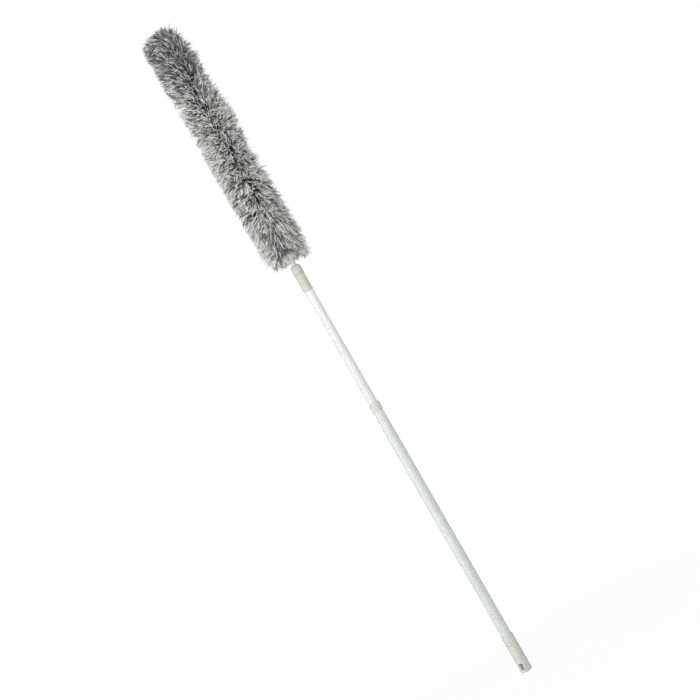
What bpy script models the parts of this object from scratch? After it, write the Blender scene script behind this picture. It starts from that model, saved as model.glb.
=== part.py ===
"""Microfiber duster on a telescopic pole, with a head that bends.

Metres, +Z along the pole. The origin is the middle of the grip's flat end face.
The pole stands at a half drawn-out setting, with its twist lock tight and the head straight.
"""

import math
import random

import bmesh
import bpy
from mathutils import Vector

# Gap between pieces that touch
CLEARANCE = 0.0003

# Lower tube, and the play of the upper tube in its bore
LOWER_TUBE_D = 0.022
LOWER_TUBE_WALL = 0.0006
LOWER_TUBE_LENGTH = 0.593
TELESCOPE_PLAY = 0.0009

# Upper tube, and how far it stands out of the lower one
UPPER_TUBE_WALL = 0.0005
UPPER_TUBE_LENGTH = 0.565
DRAWN_OUT = 0.294

# Grip
GRIP_WALL = 0.0012
GRIP_LENGTH = 0.084
GRIP_TUBE_SEAT = 0.056
GRIP_END_ROUND = 0.004
GRIP_MOUTH_CHAMFER = 0.0008
FOOT_WALL = 0.0024
FOOT_FLOOR = 0.003
SLOT_WIDTH = 0.0074
SLOT_LENGTH = 0.0139
SLOT_FROM_END = 0.0073
SLOT_CORNER = 0.0012
SLOT_WALL = 0.0018

# Collar on the lower tube's mouth
COLLAR_WALL = 0.0008
COLLAR_HOLD = 0.0163
COLLAR_LIP = 0.0017
COLLAR_EDGE = 0.0006

# Twist lock: plug, spindle, split sleeve, cone and end screw
PLUG_DEPTH = 0.024
PLUG_FLANGE = 0.004
SPINDLE_D = 0.006
SLEEVE_LENGTH = 0.020
SLEEVE_WEB = 0.003
SLEEVE_WALL_LOW = 0.0018
SLEEVE_WALL_HIGH = 0.0044
SLEEVE_SLIT = 0.0028
CONE_TRAVEL = 0.0015
CONE_PLAY = 0.0005
CONE_TOP_GAP = 0.001
CONE_KEY_LAND = 0.0006
SCREW_D = 0.0025
SCREW_LENGTH = 0.012
SCREW_HEAD_D = 0.010
SCREW_HEAD = 0.002
SCREW_CROSS = 0.0011

# Socket on the upper tube's top, with its slotted collet
SOCKET_SKIRT_WALL = 0.0008
SOCKET_SKIRT = 0.030
SOCKET_WEB = 0.0077
COLLET_WALL = 0.0024
COLLET_HEIGHT = 0.0177
COLLET_TAPER = 0.004
COLLET_TAPER_IN = 0.0008
COLLET_SLOT = 0.0012
COLLET_SLOT_DEPTH = 0.012
SOCKET_CUP_DEPTH = 0.022
SOCKET_FLOOR = 0.003

# Lock nut round the collet
NUT_WALL = 0.0022
NUT_LIP = 0.002
NUT_SHOULDER = 0.003
NUT_EDGE = 0.0006

# Head cap: stem, shoulder, neck and ferrule
SHOULDER_PLAY = 0.0007
SHOULDER_HEIGHT = 0.0027
NECK_D = 0.0104
NECK_LENGTH = 0.007
FERRULE_WALL = 0.0017
FERRULE_FLARE = 0.004
FERRULE_FLOOR = 0.0025
FERRULE_SEAT = 0.018
STEM_CHAMFER = 0.001

# Bendable core, cut into lengths that turn on one another
CORE_D = 0.016
CORE_LENGTHS = 6
CORE_FIRST = 0.075
CORE_PITCH = 0.082
BEND_EACH = math.radians(18)
BALL_LAND = 0.001
BALL_PLAY = 0.0005
CORE_SPIGOT_D = 0.010
CORE_SPIGOT = 0.008
TIP_CAP_END = 0.004

# Fibre cover: hem, backing and strands
HEM_THICKNESS = 0.0012
HEM_LENGTH = 0.0117
BACKING_THICKNESS = 0.0027
PILE_R = 0.0485
PILE_COLUMNS = 20
PILE_ROWS = 7
STRAND_TAPER = 0.34
STRAND_MARGIN = 0.0016
STRAND_SWING = 0.09
STRAND_SHORTEST = 0.955
DROOP = 0.024
DROOP_DRAW_IN = 0.80
DROOP_SHARE = 1 / 3
SEED = 7

# Rounded end of the cover: its backing, and the tips of the crown's two rows of strands
CROWN_SIDE = 0.93
CROWN_ROOF = 0.62
CROWN_MIDDLE = 0.26
CROWN_HEIGHT = 0.040
CROWN_OUTER_R = 0.0350
CROWN_OUTER_HEIGHT = 0.0264
CROWN_INNER_R = 0.0116

# How round the pieces are
TUBE_SIDES = 40
INNER_SIDES = 28
CORE_SIDES = 20
POCKET_STEPS = 12

# Radii that follow from the fits
LOWER_TUBE_R = LOWER_TUBE_D / 2
LOWER_BORE_R = LOWER_TUBE_R - LOWER_TUBE_WALL
UPPER_TUBE_R = LOWER_BORE_R - TELESCOPE_PLAY
UPPER_BORE_R = UPPER_TUBE_R - UPPER_TUBE_WALL
GRIP_BORE_R = LOWER_TUBE_R + CLEARANCE
GRIP_R = GRIP_BORE_R + GRIP_WALL
SPINDLE_R = SPINDLE_D / 2
SLEEVE_R = LOWER_BORE_R - CLEARANCE
INSERT_R = UPPER_BORE_R - CLEARANCE
COLLET_R = INSERT_R
COLLET_BORE_R = COLLET_R - COLLET_WALL
COLLET_TIP_R = COLLET_R - COLLET_TAPER_IN
STEM_R = COLLET_BORE_R - CLEARANCE
NUT_BORE_R = COLLET_R + CLEARANCE
NUT_MOUTH_R = COLLET_TIP_R + CLEARANCE
NUT_R = NUT_BORE_R + NUT_WALL
SHOULDER_R = NUT_MOUTH_R - SHOULDER_PLAY
CORE_R = CORE_D / 2
BALL_R = CORE_R - BALL_LAND
FERRULE_BORE_R = CORE_R + CLEARANCE
FERRULE_R = FERRULE_BORE_R + FERRULE_WALL
BACKING_BORE_R = CORE_R + CLEARANCE
BACKING_R = BACKING_BORE_R + BACKING_THICKNESS

# Heights along the pole
LOWER_TUBE_Z = GRIP_LENGTH - GRIP_TUBE_SEAT + CLEARANCE
LOWER_TUBE_TOP_Z = LOWER_TUBE_Z + LOWER_TUBE_LENGTH
UPPER_TUBE_TOP_Z = LOWER_TUBE_TOP_Z + DRAWN_OUT
UPPER_TUBE_Z = UPPER_TUBE_TOP_Z - UPPER_TUBE_LENGTH
FLANGE_TOP_Z = UPPER_TUBE_Z - CLEARANCE
FLANGE_Z = FLANGE_TOP_Z - PLUG_FLANGE
SLEEVE_TOP_Z = FLANGE_Z - CLEARANCE
SLEEVE_Z = SLEEVE_TOP_Z - SLEEVE_LENGTH
CONE_TOP_Z = SLEEVE_TOP_Z - SLEEVE_WEB - CONE_TOP_GAP
CONE_Z = SLEEVE_Z + CLEARANCE
SPINDLE_Z = CONE_Z - CONE_TRAVEL - CLEARANCE
SOCKET_WEB_Z = UPPER_TUBE_TOP_Z + CLEARANCE
COLLET_Z = SOCKET_WEB_Z + SOCKET_WEB
COLLET_TOP_Z = COLLET_Z + COLLET_HEIGHT
NUT_Z = COLLET_Z + CLEARANCE
SHOULDER_Z = COLLET_TOP_Z + CLEARANCE
NUT_TOP_Z = SHOULDER_Z + NUT_LIP
NECK_Z = SHOULDER_Z + SHOULDER_HEIGHT
FERRULE_Z = NECK_Z + NECK_LENGTH
CORE_Z = FERRULE_Z + FERRULE_FLARE + FERRULE_FLOOR
FERRULE_TOP_Z = CORE_Z + FERRULE_SEAT
FIRST_BEND_Z = FERRULE_TOP_Z + CORE_FIRST
CORE_TOP_Z = FIRST_BEND_Z + (CORE_LENGTHS - 1) * CORE_PITCH


def bend_z(number):
    """Height of a bend, counted from 1 at the pole's end."""
    return FIRST_BEND_Z + (number - 1) * CORE_PITCH


def material(name, colour, roughness, metallic=0.0):
    made = bpy.data.materials.new(name)
    made.use_nodes = True
    shader = made.node_tree.nodes["Principled BSDF"]
    shader.inputs["Base Color"].default_value = (*colour, 1.0)
    shader.inputs["Roughness"].default_value = roughness
    shader.inputs["Metallic"].default_value = metallic
    return made


def pivot(name, z, parent=None):
    """An empty on the pole's axis, at a height above the origin."""
    empty = bpy.data.objects.new(name, None)
    empty.empty_display_size = 0.02
    bpy.context.collection.objects.link(empty)
    empty.parent = parent
    empty.location.z = z - height_of(parent)
    return empty


def height_of(carrier):
    z = 0.0
    while carrier:
        z += carrier.location.z
        carrier = carrier.parent
    return z


def add_object(name, bm, z, parent, finish):
    """The finished mesh as an object whose base lies at height z."""
    bmesh.ops.recalc_face_normals(bm, faces=bm.faces)
    mesh = bpy.data.meshes.new(name)
    bm.to_mesh(mesh)
    bm.free()
    mesh.shade_smooth()
    mesh.set_sharp_from_angle(angle=math.radians(32))
    piece = bpy.data.objects.new(name, mesh)
    bpy.context.collection.objects.link(piece)
    piece.parent = parent
    piece.location.z = z - height_of(parent)
    piece.data.materials.append(finish)
    return piece


def arc(centre_r, centre_z, radius, start_deg, end_deg, steps):
    """Points of an arc in an (r, z) outline. 0 degrees points away from the axis, 90 up."""
    return [
        (
            centre_r + radius * math.cos(math.radians(start_deg + (end_deg - start_deg) * i / steps)),
            centre_z + radius * math.sin(math.radians(start_deg + (end_deg - start_deg) * i / steps)),
        )
        for i in range(steps + 1)
    ]


def turned_mesh(outline, sides, closed):
    """An (r, z) outline spun about the axis: a closed one, or one that starts and ends on the axis."""
    bm = bmesh.new()
    points = [bm.verts.new((r, 0.0, z)) for r, z in outline]
    edges = [bm.edges.new(pair) for pair in zip(points, points[1:])]
    if closed:
        edges.append(bm.edges.new((points[-1], points[0])))
    around = {"cent": (0, 0, 0), "axis": (0, 0, 1), "angle": 2 * math.pi}
    bmesh.ops.spin(bm, geom=points + edges, steps=sides, use_merge=True, **around)
    bmesh.ops.remove_doubles(bm, verts=bm.verts, dist=1e-6)
    return bm


def turned(name, outline, sides, z, parent, finish, closed=True):
    return add_object(name, turned_mesh(outline, sides, closed), z, parent, finish)


def cutter_box(name, size, centre, parent, corner=0.0):
    """A box to cut with, its upright corners along Y rounded if a corner radius is given."""
    bm = bmesh.new()
    bmesh.ops.create_cube(bm, size=1.0)
    bmesh.ops.scale(bm, vec=size, verts=bm.verts)
    if corner:
        along_y = [e for e in bm.edges if abs(e.verts[0].co.y - e.verts[1].co.y) > size[1] / 2]
        bmesh.ops.bevel(bm, geom=along_y, offset=corner, segments=3, affect="EDGES", profile=0.5)
    mesh = bpy.data.meshes.new(name)
    bm.to_mesh(mesh)
    bm.free()
    cutter = bpy.data.objects.new(name, mesh)
    bpy.context.collection.objects.link(cutter)
    cutter.parent = parent
    cutter.location = (centre[0], centre[1], centre[2] - height_of(parent))
    cutter.hide_render = True
    cutter.display_type = "WIRE"
    return cutter


def pocket_cutter(name, side, parent):
    """What is cored out of the foot on one side of the slot: a slice of a round bar, cut off flat."""
    bore_r = GRIP_R - FOOT_WALL
    flat = SLOT_WIDTH / 2 + SLOT_WALL
    half_turn = math.degrees(math.acos(flat / bore_r))
    outline = arc(0.0, 0.0, bore_r, -half_turn, half_turn, POCKET_STEPS)
    bm = bmesh.new()
    low = [bm.verts.new((side * x, y, FOOT_FLOOR)) for x, y in outline]
    top = bmesh.ops.extrude_face_region(bm, geom=[bm.faces.new(low)])["geom"]
    raised = [v for v in top if isinstance(v, bmesh.types.BMVert)]
    bmesh.ops.translate(bm, vec=(0, 0, GRIP_LENGTH - GRIP_TUBE_SEAT), verts=raised)
    bmesh.ops.recalc_face_normals(bm, faces=bm.faces)
    mesh = bpy.data.meshes.new(name)
    bm.to_mesh(mesh)
    bm.free()
    cutter = bpy.data.objects.new(name, mesh)
    bpy.context.collection.objects.link(cutter)
    cutter.parent = parent
    cutter.hide_render = True
    cutter.display_type = "WIRE"
    return cutter


def combine(piece, other, operation):
    step = piece.modifiers.new(other.name, "BOOLEAN")
    step.operation = operation
    step.solver = "EXACT"
    step.object = other


def grip(parent, finish):
    """Moulded cap on the tube's end: a foot with the hanging slot, and a sleeve over the tube.

    A pocket is cored out of the foot from above on each side of the slot, so that its walls are even.
    """
    seat_z = GRIP_LENGTH - GRIP_TUBE_SEAT
    outline = [(0.0, 0.0)]
    outline += arc(GRIP_R - GRIP_END_ROUND, GRIP_END_ROUND, GRIP_END_ROUND, -90, 0, 6)
    outline += [
        (GRIP_R, GRIP_LENGTH - GRIP_MOUTH_CHAMFER),
        (GRIP_R - GRIP_MOUTH_CHAMFER, GRIP_LENGTH),
        (GRIP_BORE_R, GRIP_LENGTH),
        (GRIP_BORE_R, seat_z),
        (0.0, seat_z),
    ]
    piece = turned("handle_grip", outline, TUBE_SIDES, 0.0, parent, finish, closed=False)
    combine(piece, pocket_cutter("right_pocket_cutter", 1, parent), "DIFFERENCE")
    combine(piece, pocket_cutter("left_pocket_cutter", -1, parent), "DIFFERENCE")
    slot = cutter_box(
        "slot_cutter",
        (SLOT_WIDTH, 4 * GRIP_R, SLOT_LENGTH),
        (0.0, 0.0, SLOT_FROM_END + SLOT_LENGTH / 2),
        parent,
        SLOT_CORNER,
    )
    combine(piece, slot, "DIFFERENCE")


def tube(name, outer_r, bore_r, length, z, parent, finish):
    outline = [(outer_r, 0.0), (outer_r, length), (bore_r, length), (bore_r, 0.0)]
    turned(name, outline, TUBE_SIDES, z, parent, finish)


def collar(parent, finish):
    """Ring over the lower tube's mouth. Its lip keeps the upper tube central."""
    outer_r = LOWER_TUBE_R + CLEARANCE + COLLAR_WALL
    lip_z = COLLAR_HOLD + CLEARANCE
    top_z = lip_z + COLLAR_LIP
    outline = [(LOWER_TUBE_R + CLEARANCE, 0.0), (outer_r - COLLAR_EDGE / 2, 0.0), (outer_r, COLLAR_EDGE)]
    outline += arc(outer_r - 2 * COLLAR_EDGE, top_z - 2 * COLLAR_EDGE, 2 * COLLAR_EDGE, 0, 90, 3)
    outline += [
        (UPPER_TUBE_R + CLEARANCE, top_z),
        (UPPER_TUBE_R + CLEARANCE, lip_z),
        (LOWER_TUBE_R + CLEARANCE, lip_z),
    ]
    turned("mid_collar", outline, TUBE_SIDES, LOWER_TUBE_TOP_Z - COLLAR_HOLD, parent, finish)


def lock_plug(parent, finish):
    """Plug in the upper tube's lower end. Its threaded spindle reaches down through the sleeve and cone."""
    flange_z = FLANGE_Z - SPINDLE_Z
    top_z = flange_z + PLUG_FLANGE
    pilot_r = SCREW_D / 2 + CLEARANCE
    pilot_depth = SCREW_LENGTH + 2 * CLEARANCE
    outline = [
        (0.0, pilot_depth),
        (pilot_r, pilot_depth),
        (pilot_r, 0.0),
        (SPINDLE_R, 0.0),
        (SPINDLE_R, flange_z),
        (SLEEVE_R - CLEARANCE, flange_z),
        (SLEEVE_R - CLEARANCE, top_z),
        (INSERT_R, top_z),
        (INSERT_R, top_z + PLUG_DEPTH),
        (0.0, top_z + PLUG_DEPTH),
    ]
    turned("lock_plug", outline, INNER_SIDES, SPINDLE_Z, parent, finish, closed=False)


def expander_sleeve(parent, finish):
    """Split sleeve with a tapered bore, which the cone spreads against the lower tube."""
    web_z = SLEEVE_LENGTH - SLEEVE_WEB
    outline = [
        (SLEEVE_R, 0.0),
        (SLEEVE_R, SLEEVE_LENGTH),
        (SPINDLE_R + CLEARANCE, SLEEVE_LENGTH),
        (SPINDLE_R + CLEARANCE, web_z),
        (SLEEVE_R - SLEEVE_WALL_HIGH, web_z),
        (SLEEVE_R - SLEEVE_WALL_LOW, 0.0),
    ]
    piece = turned("expander_sleeve", outline, INNER_SIDES, SLEEVE_Z, parent, finish)
    slit = cutter_box(
        "sleeve_slit_cutter",
        (2 * SLEEVE_R, SLEEVE_SLIT, 2 * SLEEVE_LENGTH),
        (SLEEVE_R, 0.0, SLEEVE_Z + SLEEVE_LENGTH / 2),
        parent,
    )
    combine(piece, slit, "DIFFERENCE")


def expander_cone(parent, finish):
    """Cone on the spindle's thread. Its key runs in the sleeve's slit, so it can't turn with the spindle."""
    height = CONE_TOP_Z - CONE_Z
    slope = (SLEEVE_WALL_HIGH - SLEEVE_WALL_LOW) / (SLEEVE_LENGTH - SLEEVE_WEB)
    low_r = SLEEVE_R - SLEEVE_WALL_LOW - slope * (CONE_Z - SLEEVE_Z) - CONE_PLAY
    high_r = low_r - slope * height
    bore_r = SPINDLE_R + CLEARANCE
    outline = [(low_r, 0.0), (high_r, height), (bore_r, height), (bore_r, 0.0)]
    piece = turned("expander_cone", outline, INNER_SIDES, CONE_Z, parent, finish)
    key_start = (bore_r + high_r) / 2
    key_end = SLEEVE_R - CONE_KEY_LAND
    key = cutter_box(
        "cone_key",
        (key_end - key_start, SLEEVE_SLIT - 2 * CLEARANCE, height),
        ((key_start + key_end) / 2, 0.0, CONE_Z + height / 2),
        parent,
    )
    combine(piece, key, "UNION")


def cone_screw(parent, finish):
    """Pan-head screw in the spindle's end, which stops the cone coming off."""
    head_r = SCREW_HEAD_D / 2
    outline = [
        (0.0, 0.0),
        (head_r - SCREW_HEAD / 2, 0.0),
        (head_r, SCREW_HEAD / 2),
        (head_r, SCREW_HEAD),
        (SCREW_D / 2, SCREW_HEAD),
        (SCREW_D / 2, SCREW_HEAD + SCREW_LENGTH),
        (0.0, SCREW_HEAD + SCREW_LENGTH),
    ]
    z = SPINDLE_Z - CLEARANCE - SCREW_HEAD
    piece = turned("cone_screw", outline, INNER_SIDES, z, parent, finish, closed=False)
    long_way = SCREW_HEAD_D * 0.5
    for name, size in (
        ("cross_cutter_x", (long_way, SCREW_CROSS, SCREW_HEAD)),
        ("cross_cutter_y", (SCREW_CROSS, long_way, SCREW_HEAD)),
    ):
        combine(piece, cutter_box(name, size, (0.0, 0.0, z), parent), "DIFFERENCE")


def socket_sleeve(parent, finish):
    """Socket on the upper tube's top: a skirt over the tube, a cup inside it and a slotted collet above."""
    base_z = SOCKET_WEB_Z - SOCKET_SKIRT
    web_z = SOCKET_SKIRT
    collet_z = web_z + SOCKET_WEB
    top_z = collet_z + COLLET_HEIGHT
    skirt_bore_r = UPPER_TUBE_R + CLEARANCE
    skirt_r = skirt_bore_r + SOCKET_SKIRT_WALL
    cup_z = web_z - SOCKET_CUP_DEPTH
    outline = [
        (0.0, cup_z),
        (INSERT_R, cup_z),
        (INSERT_R, web_z),
        (skirt_bore_r, web_z),
        (skirt_bore_r, 0.0),
        (skirt_r - SOCKET_SKIRT_WALL / 2, 0.0),
        (skirt_r, SOCKET_SKIRT_WALL),
        (skirt_r, collet_z),
        (COLLET_R, collet_z),
        (COLLET_R, top_z - COLLET_TAPER),
        (COLLET_TIP_R, top_z),
        (COLLET_BORE_R, top_z),
        (COLLET_BORE_R, cup_z + SOCKET_FLOOR),
        (0.0, cup_z + SOCKET_FLOOR),
    ]
    piece = turned("socket_sleeve", outline, TUBE_SIDES, base_z, parent, finish, closed=False)
    slot_z = COLLET_TOP_Z - COLLET_SLOT_DEPTH / 2 + COLLET_TAPER / 2
    for name, size in (
        ("collet_cutter_x", (4 * COLLET_R, COLLET_SLOT, COLLET_SLOT_DEPTH + COLLET_TAPER)),
        ("collet_cutter_y", (COLLET_SLOT, 4 * COLLET_R, COLLET_SLOT_DEPTH + COLLET_TAPER)),
    ):
        combine(piece, cutter_box(name, size, (0.0, 0.0, slot_z), parent), "DIFFERENCE")


def lock_nut(parent, finish):
    """Nut that closes the collet on the head's stem. Its bore follows the collet's taper."""
    height = NUT_TOP_Z - NUT_Z
    taper_z = COLLET_TOP_Z - COLLET_TAPER - NUT_Z
    mouth_z = COLLET_TOP_Z - NUT_Z
    shoulder_r = NUT_R - NUT_SHOULDER
    outline = [(NUT_BORE_R, 0.0), (NUT_R - NUT_EDGE, 0.0), (NUT_R, NUT_EDGE)]
    outline += arc(shoulder_r, height - NUT_SHOULDER, NUT_SHOULDER, 15, 90, 5)
    outline += [(NUT_MOUTH_R, height), (NUT_MOUTH_R, mouth_z), (NUT_BORE_R, taper_z)]
    turned("lock_nut", outline, TUBE_SIDES, NUT_Z, parent, finish)


def head_cap(parent, finish):
    """Stem, shoulder, neck and ferrule in one moulding. The ferrule holds the core."""
    base_z = SOCKET_WEB_Z - SOCKET_CUP_DEPTH + SOCKET_FLOOR + CLEARANCE
    shoulder_z = SHOULDER_Z - base_z
    neck_z = NECK_Z - base_z
    ferrule_z = FERRULE_Z - base_z
    seat_z = CORE_Z - CLEARANCE - base_z
    top_z = FERRULE_TOP_Z - base_z
    neck_r = NECK_D / 2
    outline = [
        (0.0, 0.0),
        (STEM_R - STEM_CHAMFER, 0.0),
        (STEM_R, STEM_CHAMFER),
        (STEM_R, shoulder_z),
        (SHOULDER_R, shoulder_z),
        (SHOULDER_R, neck_z - STEM_CHAMFER),
        (SHOULDER_R - STEM_CHAMFER, neck_z),
        (neck_r, neck_z),
        (neck_r, ferrule_z),
        (FERRULE_R, ferrule_z + FERRULE_FLARE),
        (FERRULE_R, top_z),
        (FERRULE_BORE_R, top_z),
        (FERRULE_BORE_R, seat_z),
        (0.0, seat_z),
    ]
    turned("head_cap", outline, TUBE_SIDES, base_z, parent, finish, closed=False)


def sleeve_hem(parent, finish):
    """Elastic hem of the fibre cover, gripping the ferrule."""
    bore_r = FERRULE_R + CLEARANCE
    outer_r = bore_r + HEM_THICKNESS
    soft = HEM_THICKNESS / 3
    outline = [
        (bore_r, 0.0),
        (outer_r - soft, 0.0),
        (outer_r, soft),
        (outer_r, HEM_LENGTH - soft),
        (outer_r - soft, HEM_LENGTH),
        (bore_r, HEM_LENGTH),
    ]
    turned("sleeve_hem", outline, INNER_SIDES, FERRULE_TOP_Z - CLEARANCE - HEM_LENGTH, parent, finish)


def core_length(number, parent, finish):
    """One length of the core: a cup at its foot over the ball below, and a ball at its head."""
    first, last = number == 1, number == CORE_LENGTHS
    base_z = CORE_Z if first else bend_z(number - 1)
    cup_r = BALL_R + BALL_PLAY
    if first:
        outline = [(0.0, 0.0), (CORE_R, 0.0)]
    else:
        outline = [(0.0, cup_r)] + arc(0.0, 0.0, cup_r, 90, 0, 4)[1:] + [(CORE_R, 0.0)]
    if last:
        top_z = CORE_TOP_Z - CORE_SPIGOT - base_z
        outline += [(CORE_R, top_z), (CORE_SPIGOT_D / 2, top_z)]
        outline += [(CORE_SPIGOT_D / 2, top_z + CORE_SPIGOT), (0.0, top_z + CORE_SPIGOT)]
    else:
        ball_z = bend_z(number) - base_z
        drop = CORE_R * math.sin(BEND_EACH) + 2 * CLEARANCE
        start = -math.degrees(math.asin(drop / BALL_R))
        ball = arc(0.0, ball_z, BALL_R, start, 90, 6)
        outline += [(CORE_R, ball_z - drop)] + ball[:-1] + [(0.0, ball_z + BALL_R)]
    turned(f"bend_core_{number}", outline, CORE_SIDES, base_z, parent, finish, closed=False)


def tip_cap(parent, finish):
    """Rounded cap on the core's free end."""
    bore_r = CORE_SPIGOT_D / 2 + CLEARANCE
    base_z = CORE_TOP_Z - CORE_SPIGOT + CLEARANCE
    floor_z = CORE_TOP_Z + CLEARANCE - base_z
    outline = [(0.0, floor_z), (bore_r, floor_z), (bore_r, 0.0), (CORE_R, 0.0)]
    outline += arc(CORE_R - TIP_CAP_END, floor_z, TIP_CAP_END, 0, 90, 4)
    outline.append((0.0, floor_z + TIP_CAP_END))
    turned("core_tip_cap", outline, CORE_SIDES, base_z, parent, finish, closed=False)


def ring_of(bm, r, z):
    turns = [2 * math.pi * i / PILE_COLUMNS for i in range(PILE_COLUMNS)]
    return [bm.verts.new((r * math.cos(turn), r * math.sin(turn), z)) for turn in turns]


def band(bm, low, high):
    """The quads between two rings of the same count."""
    corners = zip(low, low[1:] + low[:1], high[1:] + high[:1], high)
    return [bm.faces.new(quad) for quad in corners]


def raise_strand(bm, quad, tip_r, tip_z, draw):
    """Draws one quad of the backing out to a tapered strand of four sides."""
    middle = quad.calc_center_median()
    angle = math.atan2(middle.y, middle.x) + draw.uniform(-STRAND_SWING, STRAND_SWING)
    reach = tip_r * draw.uniform(STRAND_SHORTEST, 1.0)
    tip = Vector((reach * math.cos(angle), reach * math.sin(angle), tip_z))
    raised = bmesh.ops.extrude_discrete_faces(bm, faces=[quad])["faces"][0]
    for vert in raised.verts:
        vert.co = tip + (vert.co - middle) * STRAND_TAPER


def pile(number, parent, finish):
    """A slice of the cover's backing with its strands, on one length of the core.

    The ends draw back from the bends, so that no strands meet when the head is bent its whole way.
    """
    first, last = number == 1, number == CORE_LENGTHS
    draw = random.Random(SEED + number)
    base_z = FERRULE_TOP_Z if first else bend_z(number - 1)
    length = (CORE_TOP_Z if last else bend_z(number)) - base_z
    wedge = math.tan(BEND_EACH / 2)
    backing_gap = BACKING_R * wedge + CLEARANCE
    quad_height = 2 * math.pi * BACKING_R / PILE_COLUMNS
    jitter = STRAND_MARGIN / 2
    tip_gap = PILE_R * wedge + STRAND_TAPER * quad_height / 2 + jitter + CLEARANCE

    # Where the backing starts and ends, and where the first and last rows of tips stand
    low_z = 0.0 if first else backing_gap
    high_z = length if last else length - backing_gap
    tip_low = -DROOP if first else tip_gap
    tip_high = length + DROOP / 3 if last else length - tip_gap
    row_low = low_z + STRAND_MARGIN + quad_height / 2
    row_high = high_z - STRAND_MARGIN - quad_height / 2

    # Rings of the outer face, two for each row of strands
    bm = bmesh.new()
    rings = [ring_of(bm, BACKING_R, low_z)]
    rows = []
    for row in range(PILE_ROWS):
        share = row / (PILE_ROWS - 1)
        centre = row_low + (row_high - row_low) * share
        rings.append(ring_of(bm, BACKING_R, centre - quad_height / 2))
        rings.append(ring_of(bm, BACKING_R, centre + quad_height / 2))
        band(bm, rings[-3], rings[-2])
        quads = band(bm, rings[-2], rings[-1])
        droop = max(0.0, 1 - share / DROOP_SHARE) if first else 0.0
        tip_r = PILE_R * (1 - (1 - DROOP_DRAW_IN) * droop)
        rows.append((quads[row % 2 :: 2], tip_r, tip_low + (tip_high - tip_low) * share))
    rings.append(ring_of(bm, BACKING_R, high_z))
    band(bm, rings[-2], rings[-1])

    # Bore and ends. The last slice closes over the core's cap with a crown of strands
    foot = ring_of(bm, BACKING_BORE_R, low_z)
    band(bm, foot, rings[0])
    if last:
        cap_z = CORE_TOP_Z + TIP_CAP_END + 2 * CLEARANCE - base_z
        roof_z = cap_z + BACKING_THICKNESS
        bore_top = ring_of(bm, BACKING_BORE_R, cap_z)
        bm.faces.new(bore_top)
        side_z = (high_z + roof_z) / 2
        side = ring_of(bm, BACKING_R * CROWN_SIDE, side_z)
        crown = ring_of(bm, BACKING_R * CROWN_ROOF, roof_z)
        middle = ring_of(bm, BACKING_R * CROWN_MIDDLE, roof_z)
        band(bm, rings[-1], side)
        outer, inner = band(bm, side, crown)[PILE_ROWS % 2 :: 2], band(bm, crown, middle)[1::4]
        rows.append((outer, CROWN_OUTER_R, length + CROWN_OUTER_HEIGHT))
        rows.append((inner, CROWN_INNER_R, length + CROWN_HEIGHT))
        bm.faces.new(middle)
    else:
        bore_top = ring_of(bm, BACKING_BORE_R, high_z)
        band(bm, bore_top, rings[-1])
    band(bm, foot, bore_top)
    for quads, tip_r, tip_z in rows:
        for quad in quads:
            raise_strand(bm, quad, tip_r, tip_z + draw.uniform(-jitter, jitter), draw)
    add_object(f"pile_{number}", bm, base_z, parent, finish)


def build():
    for thing in list(bpy.data.objects):
        bpy.data.objects.remove(thing)

    grip_grey = material("grip_grey", (0.64, 0.65, 0.60), 0.45)
    collar_grey = material("collar_grey", (0.72, 0.72, 0.65), 0.45)
    cap_grey = material("cap_grey", (0.58, 0.57, 0.53), 0.5)
    coated_white = material("coated_white", (0.80, 0.83, 0.81), 0.3)
    nylon = material("nylon", (0.70, 0.69, 0.64), 0.4)
    steel = material("screw_steel", (0.56, 0.57, 0.58), 0.35, 1.0)
    core_black = material("core_black", (0.03, 0.03, 0.03), 0.6)
    hem_grey = material("hem_grey", (0.30, 0.30, 0.29), 0.9)
    fibre_grey = material("fibre_grey", (0.36, 0.36, 0.35), 0.95)

    # Fixed to the grip
    base = pivot("pole_base", 0.0)
    grip(base, grip_grey)
    tube("lower_tube", LOWER_TUBE_R, LOWER_BORE_R, LOWER_TUBE_LENGTH, LOWER_TUBE_Z, base, coated_white)
    collar(base, collar_grey)

    # Slides in the lower tube
    slide = pivot("pole_extension", SLEEVE_Z, base)
    expander_sleeve(slide, nylon)
    expander_cone(pivot("cone_travel", CONE_Z, slide), nylon)

    # Turns in the expander sleeve
    twist = pivot("twist_lock", UPPER_TUBE_Z, slide)
    tube("upper_tube", UPPER_TUBE_R, UPPER_BORE_R, UPPER_TUBE_LENGTH, UPPER_TUBE_Z, twist, coated_white)
    lock_plug(twist, nylon)
    cone_screw(twist, steel)
    socket_sleeve(twist, collar_grey)
    lock_nut(pivot("nut_turn", NUT_Z, twist), collar_grey)

    # The head, from its cap to its tip
    carrier = pivot("head_release", SHOULDER_Z, twist)
    head_cap(carrier, cap_grey)
    sleeve_hem(carrier, hem_grey)
    for number in range(1, CORE_LENGTHS + 1):
        if number > 1:
            carrier = pivot(f"bend_{number - 1}", bend_z(number - 1), carrier)
        core_length(number, carrier, core_black)
        pile(number, carrier, fibre_grey)
    tip_cap(carrier, core_black)


build()
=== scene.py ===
import math

import bmesh
import bpy
import numpy as np
from mathutils import Matrix, Vector


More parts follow.
